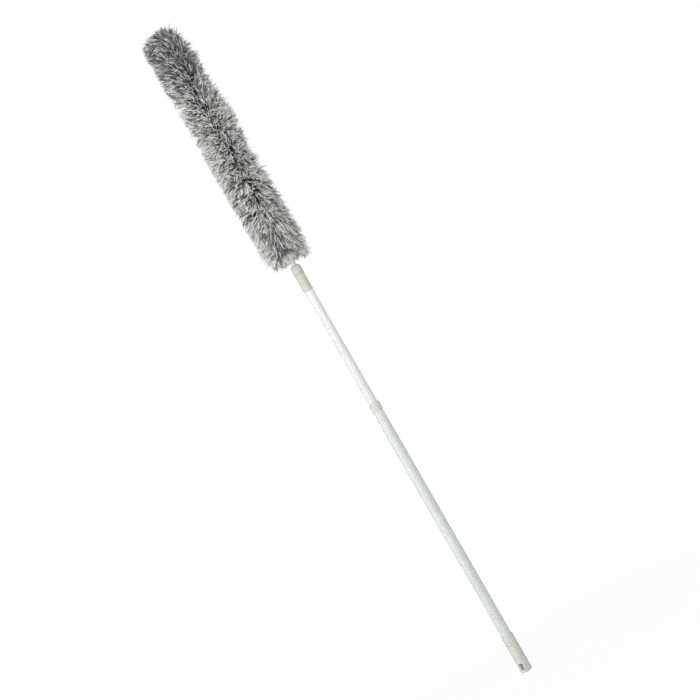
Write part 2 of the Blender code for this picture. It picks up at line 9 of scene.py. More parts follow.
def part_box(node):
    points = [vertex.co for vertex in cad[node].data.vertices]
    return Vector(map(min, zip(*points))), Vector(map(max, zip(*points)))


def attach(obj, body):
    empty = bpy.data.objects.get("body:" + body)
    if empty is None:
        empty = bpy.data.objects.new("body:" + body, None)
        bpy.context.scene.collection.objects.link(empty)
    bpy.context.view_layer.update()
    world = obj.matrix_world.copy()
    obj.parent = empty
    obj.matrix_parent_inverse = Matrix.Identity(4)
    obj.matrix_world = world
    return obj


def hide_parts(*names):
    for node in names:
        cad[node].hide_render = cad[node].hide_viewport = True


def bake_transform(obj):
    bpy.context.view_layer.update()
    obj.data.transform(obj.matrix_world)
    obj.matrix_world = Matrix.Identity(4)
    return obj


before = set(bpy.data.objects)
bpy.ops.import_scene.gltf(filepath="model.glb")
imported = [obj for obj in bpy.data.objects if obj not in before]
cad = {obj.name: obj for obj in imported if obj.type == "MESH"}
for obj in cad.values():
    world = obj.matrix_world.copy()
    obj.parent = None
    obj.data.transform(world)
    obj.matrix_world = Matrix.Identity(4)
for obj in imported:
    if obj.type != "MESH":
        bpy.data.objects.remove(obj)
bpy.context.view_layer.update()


# Lower tube.
# A seam-welded steel tube of 22 mm, powder coated in a cool white and cut square.
# Its foot is pressed into the grip and its mouth carries the collar.

TUBE_WALL = 0.0006
CUT_EDGE = 0.00015
TURNED_SIDES = 96
COOL_WHITE = (221, 226, 223)
SCUFF_GREY = (192, 196, 195)
CLOUD_TONE = 0.975
COAT_ROUGHNESS = (0.42, 0.60)
PEEL_BUMP = 0.015
PEEL_DEPTH = 0.00004
CORNER_POINTS = 5
ON_AXIS = 1e-7


def even_angles(sides):
    return [2 * math.pi * i / sides for i in range(sides)]


def softened(outline):
    """The (r, z) points of an outline of (r, z, softness), with its corners rounded off."""
    points = []
    for i, (r, z, soft) in enumerate(outline):
        if not soft:
            points.append((r, z))
            continue
        corner = np.array((r, z))
        ends = []
        for other in (outline[i - 1], outline[(i + 1) % len(outline)]):
            side = np.array(other[:2]) - corner
            ends.append(corner + side / np.linalg.norm(side) * soft)
        for t in np.linspace(0.0, 1.0, CORNER_POINTS):
            points.append(tuple((1 - t) ** 2 * ends[0] + 2 * t * (1 - t) * corner + t * t * ends[1]))
    return points


def spun(outline, angles):
    """An (r, z) outline turned about the pole's axis, and its vertices by outline point and angle."""
    bm = bmesh.new()
    grid = []
    for r, z in outline:
        if r < ON_AXIS:
            grid.append([bm.verts.new((0.0, 0.0, z))] * len(angles))
        else:
            grid.append([bm.verts.new((r * math.cos(a), r * math.sin(a), z)) for a in angles])
    is_ring = outline[0][0] > ON_AXIS
    for low, high in zip(grid, grid[1:] + grid[:1] if is_ring else grid[1:]):
        for j in range(len(angles)):
            k = (j + 1) % len(angles)
            bm.faces.new(dict.fromkeys((low[j], low[k], high[k], high[j])))
    return bm, grid


def turned(outline):
    """The mesh of a turned body, from an outline of (r, z, softness)."""
    return spun(softened(outline), even_angles(TURNED_SIDES))[0]


def in_scene(name, data):
    made = bpy.data.objects.new(name, data)
    bpy.context.collection.objects.link(made)
    return made


def as_piece(name, bm, finish, sharp_deg=38):
    """The mesh as a smooth-shaded object with its hard corners kept."""
    bmesh.ops.recalc_face_normals(bm, faces=bm.faces)
    mesh = bpy.data.meshes.new(name)
    bm.to_mesh(mesh)
    bm.free()
    mesh.shade_smooth()
    mesh.set_sharp_from_angle(angle=math.radians(sharp_deg))
    mesh.materials.append(finish)
    return in_scene(name, mesh)


def swatch(colour):
    """A colour as it reads on a 0 to 255 swatch, in the shader's own linear numbers."""
    linear = [c / 255 / 12.92 if c <= 10 else ((c / 255 + 0.055) / 1.055) ** 2.4 for c in colour]
    return (*linear, 1.0)


def add(tree, kind, feeds=(), **settings):
    """A shader node with its settings, fed with plain values or other nodes' sockets."""
    made = tree.nodes.new("ShaderNode" + kind)
    for setting, value in settings.items():
        setattr(made, setting, value)
    for place, value in feeds:
        if isinstance(value, bpy.types.NodeSocket):
            tree.links.new(value, made.inputs[place])
        else:
            made.inputs[place].default_value = value
    return made


def new_finish(name):
    """A material with its node tree and its shader."""
    made = bpy.data.materials.new(name)
    made.use_nodes = True
    return made, made.node_tree, made.node_tree.nodes["Principled BSDF"]


def bumped(tree, shader, height, strength, distance):
    bump = add(tree, "Bump", (("Height", height), ("Strength", strength), ("Distance", distance)))
    tree.links.new(bump.outputs[0], shader.inputs["Normal"])


def grain_of(tree, coordinates, scale, detail=2.0, stretch=(1.0, 1.0, 1.0)):
    mapped = add(tree, "Mapping", (("Vector", coordinates), ("Scale", stretch))).outputs[0]
    return add(tree, "TexNoise", (("Vector", mapped), ("Scale", scale), ("Detail", detail))).outputs[0]


def ranged(tree, value, low, high, to_low=0.0, to_high=1.0):
    feeds = ((0, value), (1, low), (2, high), (3, to_low), (4, to_high))
    return add(tree, "MapRange", feeds, interpolation_type="SMOOTHSTEP").outputs[0]


def times(tree, a, b):
    return add(tree, "Math", ((0, a), (1, b)), operation="MULTIPLY").outputs[0]


def mixed(tree, share, a, b):
    """A colour between a and b."""
    feeds = ((0, share), (6, a), (7, b))
    return add(tree, "Mix", feeds, data_type="RGBA").outputs[2]


def effect(name, inputs, outputs):
    """An empty shader group with float sockets, and its two end nodes."""
    group = bpy.data.node_groups.new(name, "ShaderNodeTree")
    for label, value in inputs.items():
        socket = group.interface.new_socket(label, in_out="INPUT", socket_type="NodeSocketFloat")
        socket.default_value = value
    for label in outputs:
        group.interface.new_socket(label, in_out="OUTPUT", socket_type="NodeSocketFloat")
    return group, group.nodes.new("NodeGroupInput"), group.nodes.new("NodeGroupOutput")


def placed(tree, group, **values):
    made = add(tree, "Group", node_tree=group)
    for label, value in values.items():
        made.inputs[label].default_value = value
    return made


# The powder coat's faint orange peel, its cloudy tone and the lengthwise scuffs of use
coat_group, coat_in, coat_out = effect(
    "powder_coat", {"Peel": 1.0, "Scuffs": 0.5}, ("Height", "Cloud", "Scuff")
)
where = add(coat_group, "TexCoord").outputs["Object"]
peel = grain_of(coat_group, where, 1100.0, 2.0, (1.0, 1.0, 0.6))
lines = grain_of(coat_group, where, 900.0, 1.0, (1.0, 1.0, 0.025))
patches = grain_of(coat_group, where, 18.0, 2.0)
scuff = times(
    coat_group,
    ranged(coat_group, lines, 0.60, 0.72),
    ranged(coat_group, patches, 0.48, 0.66),
)
coat_group.links.new(times(coat_group, peel, coat_in.outputs["Peel"]), coat_out.inputs["Height"])
coat_group.links.new(grain_of(coat_group, where, 9.0, 3.0), coat_out.inputs["Cloud"])
coat_group.links.new(times(coat_group, scuff, coat_in.outputs["Scuffs"]), coat_out.inputs["Scuff"])


def coated_steel(name, colour, scuffs):
    made, tree, shader = new_finish(name)
    coat = placed(tree, coat_group, Scuffs=scuffs)
    darker = swatch([c * CLOUD_TONE for c in colour])
    clouded = mixed(tree, ranged(tree, coat.outputs["Cloud"], 0.35, 0.68), swatch(colour), darker)
    worn = mixed(tree, coat.outputs["Scuff"], clouded, swatch(SCUFF_GREY))
    tree.links.new(worn, shader.inputs["Base Color"])
    rough = ranged(tree, coat.outputs["Scuff"], 0.0, 1.0, *COAT_ROUGHNESS)
    tree.links.new(rough, shader.inputs["Roughness"])
    bumped(tree, shader, coat.outputs["Height"], PEEL_BUMP, PEEL_DEPTH)
    shader.inputs["Coat Weight"].default_value = 0.20
    shader.inputs["Coat Roughness"].default_value = 0.25
    return made


def coated_tube(name, node, wall, finish):
    low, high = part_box(node)
    outer, bore = high[0], high[0] - wall
    corners = ((outer, low[2]), (outer, high[2]), (bore, high[2]), (bore, low[2]))
    return as_piece(name, turned([(r, z, CUT_EDGE) for r, z in corners]), finish)


lower = coated_tube("tube_lower", "lower_tube", TUBE_WALL, coated_steel("coat_lower", COOL_WHITE, 0.35))
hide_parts("lower_tube")
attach(lower, "pole_base")


# Grip.
# One injection moulding in warm grey polypropylene: a solid foot, and a sleeve over the tube's end.
# The hanging slot goes right through the foot, with a rounded rim round each mouth, and a pocket
# cored down from the tube's seat on either side of it keeps the walls even.

WARM_GREY = (218, 218, 211)
GRIP_BORE_R = 0.0113
GRIP_SEAT_Z = 0.028
FOOT_ROUND = 0.004
MOUTH_CHAMFER = 0.0008
GATE_R = 0.0014
GATE_DEPTH = 0.0004
GRIP_SIDES = 120
SLOT_HALF = (0.0037, 0.00695)
SLOT_MIDDLE_Z = 0.01425
SLOT_CORNER = 0.0012
WINDOW_GROW = 0.0024
WINDOW_COLUMNS = 10
WINDOW_ROWS = 14
POCKET_R = 0.0101
POCKET_FLAT = 0.0055
POCKET_FLOOR_Z = 0.003
POCKET_SIDES = 24
FLASH_LINE = 0.00006
FLASH_PAST_WINDOW = 3
MOTTLE_TONE = 0.97
DUST_TONE = 0.91
RUB_TONE = 1.06
DUST_DULLS = 0.25
RUB_POLISH = 0.8
GRAIN_BUMP = 0.14
GRAIN_DEPTH = 0.00005
# Rings through a slot mouth, from its rim's foot inwards: how far outside the slot, and how far proud
RIM_GROW = (0.0020, 0.0018, 0.0015, 0.0007, 0.0003, 0.00008, 0.0)
RIM_PROUD = (0.0, 0.00016, 0.00028, 0.0003, 0.00022, 0.0, -0.0004)

# Moulded plastic: the fine grain of the tool's steel, a slow mottle, and dust that handling leaves
mould_group, mould_in, mould_out = effect(
    "moulded_grain", {"Grain": 1.0, "Dust": 0.3}, ("Height", "Mottle", "Dust")
)
where = add(mould_group, "TexCoord").outputs["Object"]
sparks = grain_of(mould_group, where, 2600.0, 3.0)
waves = grain_of(mould_group, where, 240.0, 2.0)
coarse = times(mould_group, waves, 0.35)
rough_sum = add(mould_group, "Math", ((0, sparks), (1, coarse)), operation="ADD").outputs[0]
settled = ranged(mould_group, grain_of(mould_group, where, 70.0, 4.0), 0.50, 0.74)
specks = ranged(mould_group, grain_of(mould_group, where, 1500.0, 1.0), 0.45, 0.75, 0.4, 1.0)
dust = times(mould_group, settled, specks)
mould_group.links.new(times(mould_group, rough_sum, mould_in.outputs["Grain"]), mould_out.inputs["Height"])
mould_group.links.new(grain_of(mould_group, where, 55.0, 3.0), mould_out.inputs["Mottle"])
mould_group.links.new(times(mould_group, dust, mould_in.outputs["Dust"]), mould_out.inputs["Dust"])

# Corners polished and paled by hands and by storage
rub_group, rub_in, rub_out = effect("rubbed_corners", {"Amount": 1.0}, ("Rub",))
bent = ranged(rub_group, add(rub_group, "NewGeometry").outputs["Pointiness"], 0.505, 0.56)
where = add(rub_group, "TexCoord").outputs["Object"]
broken = ranged(rub_group, grain_of(rub_group, where, 420.0, 3.0), 0.30, 0.60, 0.25, 1.0)
rubbed = times(rub_group, bent, broken)
rub_group.links.new(times(rub_group, rubbed, rub_in.outputs["Amount"]), rub_out.inputs["Rub"])


def moulding(name, colour, roughness, grain=1.0, dust=0.3, rub=0.6):
    made, tree, shader = new_finish(name)
    mould = placed(tree, mould_group, Grain=grain, Dust=dust)
    rubbed = placed(tree, rub_group, Amount=rub).outputs["Rub"]
    darker = swatch([c * MOTTLE_TONE for c in colour])
    lighter = swatch([min(255, c * RUB_TONE) for c in colour])
    mottled = mixed(tree, ranged(tree, mould.outputs["Mottle"], 0.35, 0.68), swatch(colour), darker)
    dusty = mixed(tree, mould.outputs["Dust"], mottled, swatch([c * DUST_TONE for c in colour]))
    paled = mixed(tree, rubbed, dusty, lighter)
    tree.links.new(paled, shader.inputs["Base Color"])
    dulled = ranged(tree, mould.outputs["Dust"], 0.0, 1.0, roughness, roughness + DUST_DULLS)
    polish = ranged(tree, rubbed, 0.0, 1.0, 1.0, RUB_POLISH)
    tree.links.new(times(tree, dulled, polish), shader.inputs["Roughness"])
    bumped(tree, shader, mould.outputs["Height"], GRAIN_BUMP, GRAIN_DEPTH)
    return made


def slot_point(across, up, grow, radius, side):
    """A point of a ring round the slot's mouth. across and up run from -1 to 1 round a square."""
    half_w, half_h = SLOT_HALF[0] + grow, SLOT_HALF[1] + grow
    corner = SLOT_CORNER + grow
    x, z = across * half_w, up * half_h
    inner_x = min(max(x, corner - half_w), half_w - corner)
    inner_z = min(max(z, corner - half_h), half_h - corner)
    far = math.hypot(x - inner_x, z - inner_z)
    x = inner_x + (x - inner_x) / far * corner
    z = inner_z + (z - inner_z) / far * corner
    return x, side * math.sqrt(radius * radius - x * x), SLOT_MIDDLE_Z + z


def next_to(loop):
    return zip(loop, loop[1:] + loop[:1])


def join_loops(bm, outer, inner):
    """A band of faces between two loops with as many points."""
    for (a, b), (c, d) in zip(next_to(outer), next_to(inner)):
        bm.faces.new((a, b, d, c))


grip_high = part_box("handle_grip")[1]
grip_r, grip_top = grip_high[0], grip_high[2]
window_low = SLOT_MIDDLE_Z - SLOT_HALF[1] - WINDOW_GROW
window_high = SLOT_MIDDLE_Z + SLOT_HALF[1] + WINDOW_GROW
foot = softened(
    [
        (0.0, GATE_DEPTH, 0),
        (GATE_R, GATE_DEPTH, 0.0002),
        (GATE_R + 0.0004, 0.0, 0.0002),
        (grip_r, 0.0, FOOT_ROUND),
        (grip_r, window_low, 0),
    ]
)
first_row = len(foot) - 1
last_row = first_row + WINDOW_ROWS
sleeve = softened(
    [
        (grip_r, window_high, 0),
        (grip_r, grip_top - MOUTH_CHAMFER, 0.0003),
        (grip_r - MOUTH_CHAMFER, grip_top, 0.0002),
        (GRIP_BORE_R, grip_top, 0.0001),
        (GRIP_BORE_R, GRIP_SEAT_Z, 0),
    ]
)
window_zs = np.linspace(window_low, window_high, WINDOW_ROWS + 1)[1:]
outline = foot + [(grip_r, z) for z in window_zs] + sleeve[1:]
bm, grid = spun(outline, even_angles(GRIP_SIDES))

# The mould's parting line runs up both sides, between the two mouths
for row in grid[first_row : last_row + FLASH_PAST_WINDOW]:
    for column in (0, GRIP_SIDES // 2):
        row[column].co.xy *= 1 + FLASH_LINE / grip_r

mouths = []
for side in (-1, 1):
    centre = GRIP_SIDES * (2 - side) // 4
    columns = [(centre - side * c) % GRIP_SIDES for c in range(-WINDOW_COLUMNS, WINDOW_COLUMNS + 1)]
    window = {
        face
        for row, above in zip(grid[first_row:last_row], grid[first_row + 1 :])
        for a, b in zip(columns, columns[1:])
        for face in row[a].link_faces
        if above[b] in face.verts
    }
    bmesh.ops.delete(bm, geom=list(window), context="FACES_ONLY")
    wide = 2 * WINDOW_COLUMNS
    edge = [(c, 0) for c in range(wide)] + [(wide, r) for r in range(WINDOW_ROWS)]
    edge += [(c, WINDOW_ROWS) for c in range(wide, 0, -1)] + [(0, r) for r in range(WINDOW_ROWS, 0, -1)]
    square = [(c / WINDOW_COLUMNS - 1, 2 * r / WINDOW_ROWS - 1) for c, r in edge]
    loops = [[grid[first_row + r][columns[c]] for c, r in edge]]
    for grow, proud in zip(RIM_GROW, RIM_PROUD):
        loops.append([bm.verts.new(slot_point(x, z, grow, grip_r + proud, side)) for x, z in square])
    for outer, inner in zip(loops, loops[1:]):
        join_loops(bm, outer, inner)
    mouths.append(loops[-1])
join_loops(bm, *mouths)
loose = [e for e in bm.edges if not e.link_faces]
bmesh.ops.delete(bm, geom=loose, context="EDGES")
stray = [v for v in bm.verts if not v.link_faces]
bmesh.ops.delete(bm, geom=stray, context="VERTS")

# The tube's seat, pierced by the two pockets
half_turn = math.acos(POCKET_FLAT / POCKET_R)
seat_edges = [bm.edges.get(pair) for pair in next_to(grid[-1])]
for side in (-1, 1):
    turns = np.linspace(-half_turn, half_turn, POCKET_SIDES)
    pocket = [(side * POCKET_R * math.cos(a), POCKET_R * math.sin(a)) for a in turns]
    top = [bm.verts.new((x, y, GRIP_SEAT_Z)) for x, y in pocket]
    low = [bm.verts.new((x, y, POCKET_FLOOR_Z)) for x, y in pocket]
    join_loops(bm, top, low)
    bm.faces.new(low)
    seat_edges += [bm.edges.get(pair) for pair in next_to(top)]
bmesh.ops.triangle_fill(bm, use_beauty=True, edges=seat_edges)

grip = as_piece("grip_moulding", bm, moulding("grip_plastic", WARM_GREY, 0.46, 1.0, 0.35, 0.7))
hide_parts("handle_grip")
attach(grip, "pole_base")


# Collar.
# A moulded ring in ivory plastic, pressed over the lower tube's mouth.
# Its inner lip keeps the upper tube central and wipes it as it slides.

IVORY = (216, 217, 205)
COLLAR_WALL = 0.0008
COLLAR_LIP = 0.0017
SLIDE_PLAY = 0.0003

collar_low, collar_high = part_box("mid_collar")
upper_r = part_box("upper_tube")[1][0]
collar_r = collar_high[0]
bm = turned(
    [
        (collar_r - COLLAR_WALL, collar_low[2], 0.0002),
        (collar_r - 0.0004, collar_low[2], 0.0002),
        (collar_r, collar_low[2] + 0.0007, 0.0004),
        (collar_r, collar_high[2], 0.0011),
        (upper_r + SLIDE_PLAY, collar_high[2], 0.0005),
        (upper_r + SLIDE_PLAY, collar_high[2] - COLLAR_LIP, 0.0002),
        (collar_r - COLLAR_WALL, collar_high[2] - COLLAR_LIP, 0.0),
    ]
)
collar = as_piece("collar_moulding", bm, moulding("collar_plastic", IVORY, 0.42, 0.8, 0.25, 0.7))
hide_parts("mid_collar")
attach(collar, "pole_base")


# Upper tube.
# The lighter tube of the telescope, 19 mm, coated like the lower one but brighter.
# It slides and turns in the lower tube, and scuffs more where the collar wipes it.

BRIGHT_WHITE = (231, 233, 231)
UPPER_WALL = 0.0005

upper = coated_tube("tube_upper", "upper_tube", UPPER_WALL, coated_steel("coat_upper", BRIGHT_WHITE, 0.45))
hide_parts("upper_tube")
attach(upper, "upper_pole")


# Twist lock.
# Inside the lower tube: a nylon plug in the upper tube's end with a threaded spindle, a split sleeve
# and the cone that spreads it, held on by a pan-head screw of bright steel.

nylon = moulding("nylon_natural", (214, 212, 200), 0.38, 0.6, 0.15, 0.4)
for name in ("lock_plug", "expander_sleeve", "expander_cone"):
    cad[name].data.materials[0] = nylon

screw_steel, tree, shader = new_finish("screw_bright_steel")
turned_marks = add(tree, "TexCoord").outputs["Object"]
rings = add(
    tree,
    "TexWave",
    (("Vector", turned_marks), ("Scale", 900.0), ("Distortion", 1.2), ("Detail", 2.0)),
    wave_type="RINGS",
    rings_direction="Z",
).outputs[1]
bright = mixed(tree, rings, swatch((186, 188, 190)), swatch((206, 208, 210)))
tree.links.new(bright, shader.inputs["Base Color"])
dull = ranged(tree, grain_of(tree, turned_marks, 800.0), 0.3, 0.7, 0.22, 0.4)
tree.links.new(dull, shader.inputs["Roughness"])
bumped(tree, shader, rings, 0.2, 0.00002)
shader.inputs["Metallic"].default_value = 1.0
cad["cone_screw"].data.materials[0] = screw_steel


# Socket.
# An ivory moulding pressed on the upper tube's top: a skirt outside the tube, a cup inside it,
# and above them a collet whose four fingers close on the head's stem.

SOCKET_IVORY = (206, 204, 193)
SKIRT_WALL = 0.0008
CUP_DEPTH = 0.022
CUP_FLOOR = 0.003
COLLET_R = 0.0087
COLLET_BORE_R = 0.0063
COLLET_TIP_R = 0.0079
COLLET_TAPER = 0.004
COLLET_FOOT_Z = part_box("lock_nut")[0][2] - 0.0003
FINGERS = 4
FINGER_SLOT = 0.0012
FINGER_DEPTH = 0.012
FINGER_SIDES = 22

socket_low, socket_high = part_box("socket_sleeve")
socket_r, socket_top = socket_high[0], socket_high[2]
web_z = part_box("upper_tube")[1][2] + 0.0003
slit_z = socket_top - FINGER_DEPTH
half_slit = math.asin(FINGER_SLOT / 2 / COLLET_R)
finger_angles = []
for finger in range(FINGERS):
    start = finger * 2 * math.pi / FINGERS
    finger_angles += [start - half_slit, start + half_slit]
    span = 2 * math.pi / FINGERS - 2 * half_slit
    finger_angles += [start + half_slit + span * i / FINGER_SIDES for i in range(1, FINGER_SIDES)]
below = softened(
    [
        (0.0, web_z - CUP_DEPTH, 0),
        (COLLET_R, web_z - CUP_DEPTH, 0.0005),
        (COLLET_R, web_z, 0),
        (socket_r - SKIRT_WALL, web_z, 0),
        (socket_r - SKIRT_WALL, socket_low[2], 0.0001),
        (socket_r - 0.0002, socket_low[2], 0.0001),
        (socket_r, socket_low[2] + 0.0009, 0.0004),
        (socket_r, COLLET_FOOT_Z, 0.0004),
        (COLLET_R, COLLET_FOOT_Z, 0),
        (COLLET_R, slit_z, 0),
    ]
)
fingers = softened(
    [
        (COLLET_R, slit_z, 0),
        (COLLET_R, socket_top - COLLET_TAPER, 0),
        (COLLET_TIP_R, socket_top, 0.0003),
        (COLLET_BORE_R, socket_top, 0.0003),
        (COLLET_BORE_R, slit_z, 0),
    ]
)
cup = [(COLLET_BORE_R, web_z - CUP_DEPTH + CUP_FLOOR), (0.0, web_z - CUP_DEPTH + CUP_FLOOR)]
first, last = len(below) - 1, len(below) + len(fingers) - 2
bm, grid = spun(below + fingers[1:] + cup, finger_angles)
for finger in range(FINGERS):
    a = finger * (FINGER_SIDES + 1)
    b = a + 1
    doomed = {
        face
        for i in range(first, last)
        for face in grid[i][a].link_faces
        if grid[i][b] in face.verts and grid[i + 1][b] in face.verts
    }
    bmesh.ops.delete(bm, geom=list(doomed), context="FACES_ONLY")
    bm.faces.new([grid[i][a] for i in range(first, last + 1)])
    bm.faces.new([grid[i][b] for i in range(last, first - 1, -1)])
    bm.faces.new((grid[first][a], grid[first][b], grid[last][b], grid[last][a]))
slit_edges = [e for e in bm.edges if not e.link_faces]
bmesh.ops.delete(bm, geom=slit_edges, context="EDGES")

socket = as_piece("socket_moulding", bm, moulding("socket_plastic", SOCKET_IVORY, 0.44, 0.9, 0.25, 0.6))
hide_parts("socket_sleeve")
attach(socket, "upper_pole")


# Lock nut.
# A grey cap nut that screws down over the collet. Its crown is rounded over like a bottle's neck
# and its bore tapers in, so that turning it squeezes the fingers.

NUT_GREY = (197, 195, 188)
NUT_BORE_R = 0.0090
NUT_MOUTH_R = 0.0082
NUT_CROWN = 0.0034

nut_low, nut_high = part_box("lock_nut")
nut_r, nut_top = nut_high[0], nut_high[2]
bm = turned(
    [
        (NUT_BORE_R, nut_low[2], 0.0002),
        (nut_r - 0.0006, nut_low[2], 0.0002),
        (nut_r, nut_low[2] + 0.0006, 0.0004),
        (nut_r - 0.0002, nut_top - NUT_CROWN - 0.002, 0.001),
        (nut_r - 0.0009, nut_top - 0.0016, 0.0013),
        (nut_r - 0.0026, nut_top, 0.0011),
        (NUT_MOUTH_R, nut_top, 0.0003),
        (NUT_MOUTH_R, socket_top, 0.0),
        (NUT_BORE_R, socket_top - COLLET_TAPER, 0.0),
    ]
)
nut = as_piece("nut_moulding", bm, moulding("nut_plastic", NUT_GREY, 0.43, 0.9, 0.3, 0.8))
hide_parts("lock_nut")
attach(nut, "nut")


# Head cap.
# The head's own moulding: a stem down into the collet, a shoulder that rests on it, a narrow neck
# and the ferrule into which the core is pushed and glued.

CAP_GREY = (226, 224, 213)
STEM_R = 0.0060
NECK_R = 0.0052
CORE_SEAT_R = 0.0083
SHOULDER_HEIGHT = 0.0027
NECK_LENGTH = 0.007
FLARE = 0.004
SEAT_DEPTH = 0.018

cap_low, cap_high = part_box("head_cap")
ferrule_r, cap_top = cap_high[0], cap_high[2]
shoulder_z = socket_top + 0.0003
neck_z = shoulder_z + SHOULDER_HEIGHT
ferrule_z = neck_z + NECK_LENGTH
bm = turned(
    [
        (0.0, cap_low[2], 0),
        (STEM_R, cap_low[2], 0.001),
        (STEM_R, shoulder_z, 0),
        (NUT_MOUTH_R - 0.0007, shoulder_z, 0.0002),
        (NUT_MOUTH_R - 0.0007, neck_z, 0.0009),
        (NECK_R, neck_z, 0.0005),
        (NECK_R, ferrule_z - 0.0003, 0.0012),
        (ferrule_r - 0.0004, ferrule_z + FLARE - 0.0006, 0.0012),
        (ferrule_r, ferrule_z + FLARE + 0.002, 0.0008),
        (ferrule_r, cap_top, 0.0004),
        (CORE_SEAT_R, cap_top, 0.0002),
        (CORE_SEAT_R, cap_top - SEAT_DEPTH - 0.0003, 0),
        (0.0, cap_top - SEAT_DEPTH - 0.0003, 0),
    ]
)
head_cap = as_piece("cap_moulding", bm, moulding("cap_plastic", CAP_GREY, 0.45, 0.9, 0.35, 0.6))
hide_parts("head_cap")
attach(head_cap, "head_base")


# Bending core.
# A steel strip in black rubbery plastic runs from the ferrule to the tip and keeps the bend it is given.
# It is cut into lengths that turn on one another, and a round cap covers its end.

core_plastic = moulding("core_black_plastic", (38, 38, 38), 0.55, 1.2, 0.3, 0.4)
for name in [f"bend_core_{i}" for i in range(1, 7)] + ["core_tip_cap"]:
    cad[name].data.materials[0] = core_plastic


# Hem.
# The fibre cover ends in a knitted elastic hem of pale warm yarn, which grips the ferrule.
# Its ribs stand upright round it, and an overlocked edge rolls over at its foot.

HEM_RIBS = 44
HEM_SIDES = HEM_RIBS * 6
HEM_RIB_DEPTH = 0.00022
HEM_COURSES = 9
HEM_COURSE_DEPTH = 0.00012
HEM_ROLL = 0.0006
HEM_TROUGH_SHADE = (186, 186, 174)
HEM_YARN_PALE = (236, 235, 224)

hem_low, hem_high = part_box("sleeve_hem")
hem_r, hem_foot, hem_top = hem_high[0], hem_low[2], hem_high[2]
hem_bore = ferrule_r + 0.0003
courses = np.linspace(hem_foot + 0.0024, hem_top - 0.0006, HEM_COURSES)
hem_outline = softened(
    [
        (hem_bore, hem_foot, 0.0003),
        (hem_r + HEM_ROLL * 0.5, hem_foot, 0.0006),
        (hem_r + HEM_ROLL * 0.5, hem_foot + 0.0014, 0.0006),
        (hem_r - 0.0003, hem_foot + 0.0019, 0.0002),
    ]
)
roll_points = len(hem_outline)
hem_outline += [(hem_r - 0.0001 + HEM_COURSE_DEPTH * (i % 2), z) for i, z in enumerate(courses)]
hem_outline += [(hem_r - 0.0005, hem_top), (hem_bore, hem_top)]
bm, grid = spun(hem_outline, even_angles(HEM_SIDES))
for row in grid[roll_points:-2]:
    for j, vert in enumerate(row):
        wave = math.cos(2 * math.pi * j * HEM_RIBS / HEM_SIDES)
        vert.co.xy *= 1 + HEM_RIB_DEPTH * (wave - 1) / hem_r

knit, tree, shader = new_finish("hem_knit")
where = add(tree, "TexCoord").outputs["Object"]
loops = add(
    tree,
    "TexWave",
    (("Vector", where), ("Scale", 420.0), ("Distortion", 2.5), ("Detail", 2.0), ("Detail Scale", 3.0)),
    bands_direction="Z",
).outputs[1]
fuzz = grain_of(tree, where, 3200.0, 3.0)
# Partly the yarn's fuzz, partly painted shade in the knit's troughs, where the bump is low
yarn = mixed(tree, times(tree, loops, fuzz), swatch(HEM_TROUGH_SHADE), swatch(HEM_YARN_PALE))
tree.links.new(yarn, shader.inputs["Base Color"])
tree.links.new(ranged(tree, fuzz, 0.3, 0.7, 0.82, 0.98), shader.inputs["Roughness"])
bumped(tree, shader, loops, 0.6, 0.0002)
shader.inputs["Sheen Weight"].default_value = 0.3
hem = as_piece("hem_ribbing", bm, knit, 70)
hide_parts("sleeve_hem")
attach(hem, "head_base")


# Fibre cover.
# A knitted sleeve whose whole outside is tufts of microfiber yarn in white and greys, 38 mm long.
# It is pulled over the core, hangs over the ferrule, is closed at the tip, and bends with the core.

FIBRE_SEED = 23
ROOT_R = 0.0104
BACKING_R = 0.0108
BACKING_THICK = 0.0012
BACKING_SIDES = 36
BACKING_ROWS = 12
BACKING_DOME_TURNS = np.linspace(0, 1.5, 7)[1:]
# The backing takes the darkest yarn tone, darkened to a tenth by the painted root shade
BACKING_SHADED_MAP = np.array(((0.03, 0.05), (0.08, 0.05), (0.08, 0.25), (0.03, 0.25)))
PILE_FOOT_Z = 0.9775
PILE_SIDE_TOP_Z = 1.4430
DOME_CENTRE_Z = 1.4570
BACKING_Z = (PILE_FOOT_Z - 0.002, DOME_CENTRE_Z - 0.001)
DOME_HEIGHT = 0.0390
DOME_RAGGED = 0.035
DOME_DROOP = 0.010
DOME_R = 0.0495
DOME_TUFTS = 140
DOME_OPEN = math.radians(82)
DOME_ROOTS_FLAT = 0.8
DOME_ROOTS_DROP = 0.0015
GOLDEN_ANGLE = math.pi * (3 - math.sqrt(5))
TUFT_ROWS = 46
TUFT_COLUMNS = 30
ROW_UNEVEN = 0.25
COLUMN_UNEVEN = 0.22
LEAN_UNEVEN = 10.0
TUFT_R = 0.0064
TUFT_CROWN = 0.0020
TUFT_UNEVEN = 0.0012
LOCKS = 10
LOCK_SPREAD = (0.8, 1.15)
LOCK_SWING = 0.25
LOCK_GATHERED = 0.30
LOCK_UNEVEN = 0.0060
LOCK_TURNS = 0.0044
LOCK_BOW = 0.0024
DARK_SHORTER = 0.0050
YARNS = 3
YARN_R = 0.00055
YARN_UNEVEN = 0.0030
YARN_TIP_SPREAD = 0.00055
YARN_ROOT_SPREAD = 0.0009
YARN_BOW = 0.0011
YARN_BOW_AT = 0.52
YARN_STEPS = np.array([0.0, 0.45, 0.84])
YARN_WIDTHS = np.array([0.75, 1.0, 0.72])
STRAY_SHARE = 0.12
STRAY_OUT = (0.002, 0.006)
STRAY_WANDER = 0.002
STRAY_WIDTH = 0.5
EDGE_TUFTS = 40
EDGE_UNEVEN = 0.1
EDGE_REACH = (0.013, 0.028)
EDGE_Z = 0.957
EDGE_RISE = 0.005
EDGE_LIFT = 0.008
SOFT_SHADE = 0.35
TONE_WIDTH = 0.03
BENDS_Z = [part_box(f"bend_core_{i + 1}")[0][2] for i in range(1, 6)]

